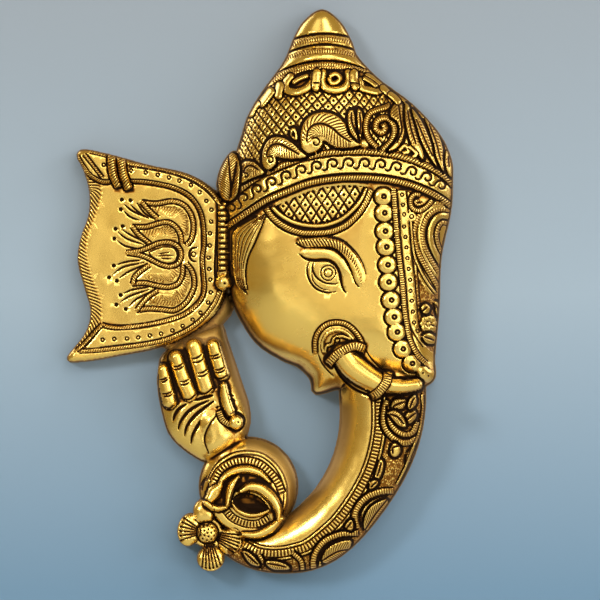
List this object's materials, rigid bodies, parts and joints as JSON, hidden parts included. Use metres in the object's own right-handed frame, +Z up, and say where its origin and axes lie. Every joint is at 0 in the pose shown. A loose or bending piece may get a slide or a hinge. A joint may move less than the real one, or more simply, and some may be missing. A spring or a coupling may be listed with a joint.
{
  "type": "elephant-headed figure wall mask",
  "caption": "Cast brass wall mask of an elephant-headed figure in profile, with crown, spread ear, raised hand and curling trunk, hollow at the back.",
  "frame": {"origin": "centre of the rear face of the hanging bar across the hollow of the crown, on the wall plane", "axes": "+Z up the wall, +Y into the wall, +X to the right as the mask is seen from the front"},
  "size_m": [0.1938, 0.047, 0.283],
  "materials": {
    "brass": "polished relief with dark patina in the recesses"
  },
  "bodies": {
    "root": {"ganesha_mask": "brass"}
  },
  "joints": []
}
